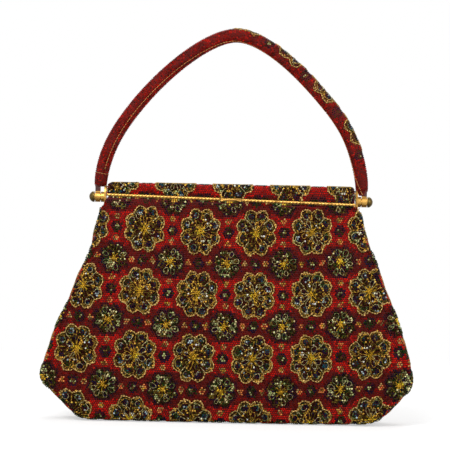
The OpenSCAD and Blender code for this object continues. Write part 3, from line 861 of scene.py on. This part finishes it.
for word, sign in (("left", -1), ("right", 1)):
    y, s = lattice(-BELLY_D / 2, BELLY_D / 2, 0.8, STRIP_L - 1.2)
    ok = np.abs(y) < side_reach(s) + 0.3
    y, s = y[ok], s[ok]
    rgb, lift, _ = beadwork(y + COLUMN_X, side_height(s) - SIDE_RISE)
    me = bead_mesh(f"{word}_side_beads", *side_place(s, y, lift, sign), np.stack([s, y], 1), rgb, 4)
    side_beads = link(me, glass, "bag", "beaded_cloth")
    lines = []
    for j in range(-3, 5):
        lines += medallion_lines(0, SIDE_RISE + ROW_Z + j * PITCH_Z)
        for c in (-COLUMN_X, COLUMN_X):
            lines += flower_lines(c, SIDE_RISE + ROW_Z + (j + 0.5) * PITCH_Z)

    def on_side(ab):
        t = np.interp(ab[:, 1], CLIMB, STRIP)
        return *side_place(t, ab[:, 0], CORD_LIFT, sign), np.stack([t, ab[:, 0]], 1)

    sew(f"{word}_side_cords", lines, keep_side, on_side, "bag")
    if sign > 0:
        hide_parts("side_medallions")


# Lid

LID_A, LID_R, LID_END = COVER_Y - SKIN, 3.0, LID_X - SKIN
LID_SIDE = LID_TOP - SKIN - COVER_LOW - LID_R
LID_ARC = LID_R * math.pi / 2
LID_FLAT = 2 * (LID_A - LID_R)
LID_V = 2 * LID_SIDE + 2 * LID_ARC + LID_FLAT


def lid_place(x, v):
    """Place on the lid's cloth: x along it, v up the front, over the top and down the back."""
    drop = fold(LID_END - np.abs(x), LID_END_R)
    top = LID_TOP - SKIN - drop
    v = np.asarray(v, float)
    w = np.minimum(v, LID_V - v)
    side = np.clip(w / LID_SIDE, 0, 1)
    turn = np.clip((w - LID_SIDE) / LID_ARC, 0, 1) * math.pi / 2
    flat = np.clip(w - LID_SIDE - LID_ARC, 0, LID_FLAT / 2)
    y = -LID_A + LID_R * (1 - np.cos(turn)) + flat
    low = COVER_LOW - np.where(v < LID_V / 2, DROP, 0) * x
    rise = low + side * (top - LID_R - low) + LID_R * np.sin(turn)
    ease = np.clip((LID_END - np.abs(x)) / 12, 0, 1)
    crown = 0.35 * np.clip(1 - (y / LID_A) ** 2, 0, 1) * ease
    puff = 0.25 * np.sin(x / 13 + 0.6) * np.sin(w / 5) * ease
    return np.stack([x + 0 * y, np.where(v > LID_V / 2, -y, y), rise + crown + puff * 0.5], -1)


ends = LID_END - LID_END_R * (1 - np.cos(np.linspace(0, math.pi / 2, 8)))
lid_rows = np.concatenate([-ends, np.linspace(-ends[-1], ends[-1], 50)[1:-1], ends[::-1]])
lid_cols = np.concatenate([np.linspace(0, LID_SIDE, 4)[:-1], LID_SIDE + np.linspace(0, LID_ARC, 6)[:-1],
                           LID_SIDE + LID_ARC + np.linspace(0, LID_FLAT, 13)[:-1],
                           LID_V - LID_SIDE - LID_ARC + np.linspace(0, LID_ARC, 6)[:-1],
                           LID_V - LID_SIDE + np.linspace(0, LID_SIDE, 4)])
lid_grid = lid_place(*np.meshgrid(lid_rows, lid_cols, indexing="ij"))
lid_mesh = capped_mesh("lid_shell", [lid_grid], wrap=False, flip=True)
lid_shell = link(lid_mesh, ground_cloth, "lid", "beaded_cloth")
thicken(lid_shell, 0.7)
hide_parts("lid_cover")


def on_lid(x, v, lift):
    n = normals(lid_place, x, v, 0.4)
    return lid_place(x, v) + n * np.asarray(lift)[..., None], n


LID_TURN = LID_END_R * HALF_ARC
LID_SCALE = 1 - PITCH_IN / 2 / PITCH_X
x, v = lattice(-LID_END + LID_TURN, LID_END - LID_TURN, 0.7, LID_V - 0.6)
rgb, lift, _ = beadwork((x - LID_SHIFT) / LID_SCALE + COLUMN_X, v - LID_ROW + ROW_Z, False)
p, n = on_lid(x, v, lift)
y, z = lattice(-LID_A + 1.0, LID_A - 1.0, COVER_LOW + 0.8, LID_TOP - SKIN - LID_TURN)
up = np.clip((z - (LID_TOP - SKIN - LID_END_R)) / LID_END_R, 0, 1)
out = np.sqrt(1 - up * up)
for sign in (-1, 1):
    end_rgb, _, _ = beadwork(y + COLUMN_X + 11 * sign, z - COVER_LOW - 14 + ROW_Z)
    p = np.concatenate([p, np.stack([sign * (LID_END - LID_END_R * (1 - out)), y, z], 1)])
    n = np.concatenate([n, np.stack([sign * out, 0 * y, up], 1)])
    rgb = np.concatenate([rgb, end_rgb])
    x, v = np.concatenate([x, y + sign * (LID_END + 20)]), np.concatenate([v, z - COVER_LOW])
link(bead_mesh("lid_beads", p, n, np.stack([x, v], 1), rgb, 5), glass, "lid", "medallion_beads")
lines = []
for i in range(-3, 4):
    lines += medallion_lines(i * PITCH_X, LID_ROW)
    for j in (-0.5, 0.5):
        lines += flower_lines((i + 0.5) * PITCH_X, LID_ROW + j * PITCH_Z)
lines = [(ab * (LID_SCALE, 1) + (LID_SHIFT, 0), *rest) for ab, *rest in lines]


def keep_lid(a, c):
    return (np.abs(a) < LID_END - LID_TURN - 0.5) & (c > 0.8) & (c < LID_V - 0.8)


lid_cords = sew("lid_cords", lines, keep_lid, lambda ab: (*on_lid(*ab.T, LID_CORD_LIFT), ab), "lid")
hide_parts("lid_medallions")


# Rope rail of the lid

def rope(start, end):
    x = np.linspace(start, end, int(abs(end - start) / 0.3))
    gx, ga = np.meshgrid(x, np.linspace(0, TURN, 17)[:-1], indexing="ij")
    ridge = 0.7 + 0.36 * np.abs(np.sin(ga + math.pi * gx / 2.75)) ** 0.8
    taper = np.clip((np.minimum(gx - x.min(), x.max() - gx)) / 0.7, 0, 1)
    size = ridge * (0.55 + 0.45 * np.sqrt(taper))
    z = RAIL_Z - DROP * gx + 1.15 * size * np.sin(ga)
    return np.stack([gx, -RAIL_Y + size * np.cos(ga), z], -1)


ROPE_X = THUMB_W / 2 + 0.1
ropes = [rope(-ROPE_X, -LID_X)[::-1], rope(ROPE_X, LID_X)]
rail = link(capped_mesh("rope_rail", ropes), gilt, "lid", "gilt_brass")
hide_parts("front_rail")


# Handle

def strap_line(u):
    """Centre of the strap, x and height over the pins, and its fullness; u from 0, right foot, to 2, left."""
    t = np.minimum(u, 2 - u)
    s = 1 - t
    lean = 2.2 * np.sin(np.clip(t, 0, 1) * math.pi / 2) ** 2
    x = ARCH_X * (s ** 3 + 3 * s * s * t) + 3 * s * t * t * CROWN_X
    x = x - FOOT_IN * np.cos(math.pi / 2 * np.clip(t / 0.32, 0, 1)) ** 2
    lean = lean + 1.5 * np.exp(-((u - 0.34) / 0.13) ** 2)
    z = FOOT_Z * s ** 3 + 3 * s * s * t * LEAN_Z + (3 * s * t * t + t ** 3) * ARCH_H
    q = np.minimum(1, t / 0.2)
    return np.where(u <= 1, x, -x) + lean, z, q * (2 - q)


def strap_place(u, a, grow=0.0):
    """Place on the strap's skin; a = 0 at the outer edge, -90 degrees at the front."""
    u = np.clip(np.asarray(u, float), 0, 2)
    x, z, f = strap_line(u)
    h = 0.004
    x1, z1, _ = strap_line(np.clip(u + h, 0, 2))
    x0, z0, _ = strap_line(np.clip(u - h, 0, 2))
    hx, hz = x1 - x0, z1 - z0
    size = np.hypot(hx, hz)
    hx, hz = hx / size, hz / size
    w = (FOOT_W + (STRAP_W - FOOT_W) * f) / 2 + grow
    t = STRAP_T * (0.62 + 0.38 * f) / 2 + grow
    c, d = np.cos(a), np.sin(a)
    return np.stack([x + hz * w * c, t * d, PIN_Z + z - hx * w * c], -1)


def tube(name, u, grow, mat, slot, sides, dent):
    gu, ga = np.meshgrid(u, np.linspace(0, TURN, sides + 1)[:-1], indexing="ij")
    me = capped_mesh(name, [strap_place(gu, ga, grow + dent(gu, ga))])
    return link(me, mat, "handle", slot)


def seam_angle(u):
    return np.radians(np.interp(u, [0, 0.04, 0.09, 0.25, 0.6, 0.9, 1.1, 1.35, 1.6, 1.8, 2.0],
                                [262, 232, 206, 192, 190, 202, 222, 238, 248, 246, 252]))


def strap_dent(u, a):
    gap = np.abs((a - seam_angle(u) + math.pi) % TURN - math.pi)
    soft = 0.10 * np.sin(u * 41 + 2 * np.sin(a)) + 0.08 * np.sin(u * 97 + 3 * a)
    return soft - 0.4 * np.exp(-(gap / 0.14) ** 2)


strap = tube("padded_strap", np.linspace(0, 2, 181), 0.0, strap_skin, "strap_cloth", 40, strap_dent)
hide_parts("handle_strap")

for word, u0, u1 in (("right", 0.0, 0.075), ("left", 1.925, 2.0)):
    tube(f"{word}_strap_end", np.linspace(u0, u1, 14), 0.35, tab_skin, "tab_leather", 28,
         lambda u, a: -1.1 * np.clip(1 - np.minimum(u, 2 - u) / 0.022, 0, 1) ** 2)

# The right end is folded to a point over its tab, above the collar
f, a = np.meshgrid(np.linspace(0, 1, 10), np.linspace(0, TURN, 29)[:-1], indexing="ij")
e = f * f * (3 - 2 * f)
wide, deep = 4.3 - 1.4 * e, 2.75 - 0.4 * e - 0.25 * np.sin(f * math.pi)
tip = np.stack([ARCH_X - FOOT_IN + 0.7 * e + wide * np.cos(a), deep * np.sin(a),
                PIN_Z + FOOT_Z + 1.0 - 4.1 * f + 0 * a], -1)
link(capped_mesh("right_strap_tip", [tip], flip=True), tab_skin, "handle", "tab_leather")

# Beads of the strap: plain red, with the edge of a row of medallions on its outer side
U_GRID = np.linspace(0, 2, 600)
lx, lz, _ = strap_line(U_GRID)
S_GRID = np.concatenate([[0], np.cumsum(np.hypot(np.diff(lx), np.diff(lz)))])
STRAP_L = S_GRID[-1]
STRAP_R, STRAP_ROW, STRAP_PITCH, PLAIN_L = 4.6, 47.0, 38.0, 26


def edge_angle(u):
    """Where the medallions begin: towards the front on the right half and behind on the left."""
    return np.radians(np.interp(u, [0, 0.15, 0.3, 0.5, 0.65, 0.8, 0.95, 1.1, 1.3, 2.0],
                                [-95, -104, -110, -122, -112, -96, -60, 0, 40, 50]))


def on_strap(u, a, lift):
    n = normals(lambda a, u: strap_place(u, a), a, u, 0.01)
    return strap_place(u, a) + n * np.asarray(lift)[..., None], n


v, s = lattice(0, TURN * STRAP_R - 0.7, 1.0, STRAP_L - 1.0, 1.45, 1.4)
u = np.interp(s, S_GRID, U_GRID)
a = seam_angle(u) + (v + 0.7) / STRAP_R
gap = a - edge_angle(u) - TURN
rgb, lift = np.empty((len(s), 3)), np.zeros(len(s))
dice = patches(v, s)
set_some(rgb, np.ones(len(s), bool), [RED * 0.58, RED * 0.38, RED * 0.95, MAROON * 0.9], [5, 3, 2, 2], dice)
# Beads of the plain stretch and of the far side are put out of reach of the motifs
off = 1000.0 * ~((s > PLAIN_L) & (a < math.radians(510)))
paint_bud(rgb, lift, gap * STRAP_R - 3.8 + off, near(s, STRAP_ROW + STRAP_PITCH / 2, STRAP_PITCH), dice)
paint_medallion(rgb, lift, gap * STRAP_R - MEDAL_W / 2 + off, near(s, STRAP_ROW, STRAP_PITCH), dice)
# Random brightness for each bead: partly the beads' own tone, partly painted shade at the dark end and
# painted glints at the bright end.
rgb = np.clip(rgb * rng.uniform(0.35, 1.5, len(s))[:, None], 0, 0.95)
me = bead_mesh("strap_beads", *on_strap(u, a, 0.0), np.stack([s, v], 1), rgb, 5, STRAP_BEAD_R, STRAP_BEAD_H)
link(me, glass, "handle", "beaded_cloth")
lines = []
for k in range(7):
    lines += medallion_lines(MEDAL_W / 2, STRAP_ROW + k * STRAP_PITCH)


def keep_strap(c, s):
    a = edge_angle(np.interp(s, S_GRID, U_GRID)) + c / STRAP_R
    return (c > -2) & (c < 15) & (a < math.radians(150)) & (s > PLAIN_L) & (s < STRAP_L - 8)


def strap_cord(ab):
    u = np.interp(ab[:, 1], S_GRID, U_GRID)
    return *on_strap(u, edge_angle(u) + ab[:, 0] / STRAP_R, STRAP_CORD_LIFT), ab


sew("strap_cords", lines, keep_strap, strap_cord, "handle", 0.85)

# Gold stitches: along the seam, one on the folded tip and a ring of them at the left end
seams = []
s0, s1 = np.interp([0.012, 1.91], U_GRID, S_GRID)
for start in np.arange(s0, s1 - STITCH, STITCH):
    s = start + np.linspace(0, STITCH * STITCH_FILL, 4)
    u = np.interp(s, S_GRID, U_GRID)
    p, n = on_strap(u, seam_angle(u), 0.35 + np.array([-0.3, 0.0, 0.0, -0.3]) * STITCH_R)
    seams.append((p, n, np.stack([s, 0 * s], 1) + rng.normal(0, 0.01, (4, 2)), GOLD, STITCH_R, False))
f = np.linspace(0, 1, 4)
p = np.stack([101.9 + 1.7 * f, -2.75 + 0.3 * f, PIN_Z + 8.6 - 3.2 * f], 1)
flat = np.stack([f * 3.6, 0 * f + 30], 1)
seams.append((p, np.tile([0.0, -1.0, 0.0], (4, 1)), flat, GOLD, STITCH_R, False))
for k in range(14):
    a = TURN * k / 14 + np.linspace(0, 0.3, 4)
    p, n = on_strap(np.full(4, 1.928), a, 0.45)
    seams.append((p, n, np.stack([400 + 4 * a, np.full(4, 15.4)], 1), GOLD, STITCH_R, False))
link(cord_mesh("strap_seams", seams), thread, "handle", "flower_beads")


# Soft insides of the lid and the pocket

def soft_sheet(name, place, rows, cols, body, thick):
    u, v = np.meshgrid(np.linspace(0, 1, rows), np.linspace(0, 1, cols), indexing="ij")
    ob = link(quad_mesh(name, place(u, v).reshape(-1, 3), quads(rows, cols)), satin, body, "lining_cloth")
    thicken(ob, thick)
    return ob


POCKET_X, POCKET_LOW, POCKET_TOP = MOUTH_X * 0.6, PIN_Z * 0.4, PIN_Z * 0.82


def pocket_place(u, v):
    x, z = (2 * u - 1) * POCKET_X, POCKET_LOW + v * (POCKET_TOP - POCKET_LOW)
    hang = 1.6 * v ** 3 * np.sin(math.pi * u) ** 0.6 + 0.25 * v * np.sin(9 * u) ** 2
    return np.stack([x, half_d(z) - CLOTH_IN - 1.3 - hang, z], -1)


pocket = soft_sheet("soft_pocket", pocket_place, 41, 25, "bag", 0.45)
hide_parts("slip_pocket")

LID_LIN_X, LID_LIN_Y, LID_LIN_Z = 90.8, 10.9, 183.5


def lid_lining_place(u, v):
    x, y = (2 * u - 1) * LID_LIN_X, (2 * v - 1) * LID_LIN_Y
    puff = 0.8 * (np.sin(math.pi * u) * np.sin(math.pi * v)) ** 0.4
    wrinkle = 0.12 * np.sin(x / 3.1 + 0.6 * np.sin(y / 2))
    return np.stack([x, y, LID_LIN_Z - 0.5 - (puff + wrinkle)], -1)


lid_satin = soft_sheet("lid_satin", lid_lining_place, 91, 17, "lid", 0.3)
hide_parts("lid_lining")


# Finishes of the solids that stay
FINISH = (
    (board, "base_board"),
    (inner_brass, "mouth_rim", "rim_hinge_leaf", "hinge_rod", "lid_tray", "lid_hinge_leaf", "catch_spring"),
    (gilt, "left_end_plate", "right_end_plate", "left_post", "right_post", "thumb_lift"),
    (aged, "left_knob", "right_knob"),
    (tab_finish, "left_tab", "right_tab"))
for mat, *names in FINISH:
    for name in names:
        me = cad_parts[name].data
        me.materials.clear()
        me.materials.append(mat)


# Stage, lights and camera

def stage_material():
    """Pale floor that keeps the shadow near the part and runs out to white."""
    t = tree("stage_floor")
    t.nodes.remove(t.nodes["Principled BSDF"])
    path = t.add("LightPath").outputs
    flat = t.add("BsdfDiffuse", Color=(0.62, 0.62, 0.62, 1))
    glow = t.add("Emission", Strength=t.span(path["Is Camera Ray"], 0.0, 0.5))
    close = t.add("AddShader", flat.outputs[0], glow.outputs[0])
    far = t.add("Emission", Strength=1.0)
    away = t.add("VectorMath", t.place(), operation="LENGTH").outputs["Value"]
    seen = t.calc("MAXIMUM", path["Is Camera Ray"], path["Is Glossy Ray"])
    share = t.calc("MULTIPLY", t.span(away, 0.0, 1.0, 0.3, 0.9), seen)
    both = t.add("MixShader", share, close.outputs[0], far.outputs[0])
    t.put(both.outputs[0], t.nodes["Material Output"].inputs["Surface"])
    return t.owner


me = bpy.data.meshes.new("floor")
me.from_pydata([(-6, -6, 0), (6, -6, 0), (6, 6, 0), (-6, 6, 0)], [], [(0, 1, 2, 3)])
me.materials.append(stage_material())
floor = bpy.data.objects.new("floor", me)
scene.collection.objects.link(floor)

world = Tree(bpy.data.worlds.new("studio"))
scene.world = world.owner
world.nodes.clear()
path = world.add("LightPath").outputs
soft = world.add("Background", Color=(1, 1, 1, 1), Strength=0.42)
white = world.add("Background", Color=(1, 1, 1, 1), Strength=1.0)
seen = path["Is Camera Ray"]
for word in ("Is Glossy Ray", "Is Transmission Ray"):
    seen = world.calc("MAXIMUM", seen, path[word])
pick = world.add("MixShader", seen, soft.outputs[0], white.outputs[0])
world.add("OutputWorld", Surface=pick.outputs[0])


def area_light(name, at, target, size, power):
    data = bpy.data.lights.new(name, "AREA")
    data.energy = power
    data.size = size
    ob = bpy.data.objects.new(name, data)
    scene.collection.objects.link(ob)
    ob.location = at
    away = np.array(at) - np.array(target)
    ob.rotation_euler = (math.atan2(math.hypot(away[0], away[1]), away[2]), 0,
                         math.atan2(away[1], away[0]) + math.pi / 2)


area_light("key", (-0.7, -1.5, 1.3), (0, 0, 0.14), 1.0, 26)
area_light("fill", (1.2, -1.3, 0.7), (0, 0, 0.14), 1.0, 13)
area_light("back", (0.2, 1.4, 1.6), (0, 0, 0.12), 1.2, 14)

CAM_D, FRAME_W, ROLL = 1.7, 0.3537, math.radians(1.2)
cam = bpy.data.cameras.new("camera")
cam.sensor_width = 36
cam.lens = 36 * (CAM_D - 0.006) / FRAME_W
camera = bpy.data.objects.new("camera", cam)
camera.location = (-0.0043, -CAM_D, 0.1547)
camera.rotation_euler = (math.pi / 2, -ROLL, 0)
scene.collection.objects.link(camera)
scene.camera = camera
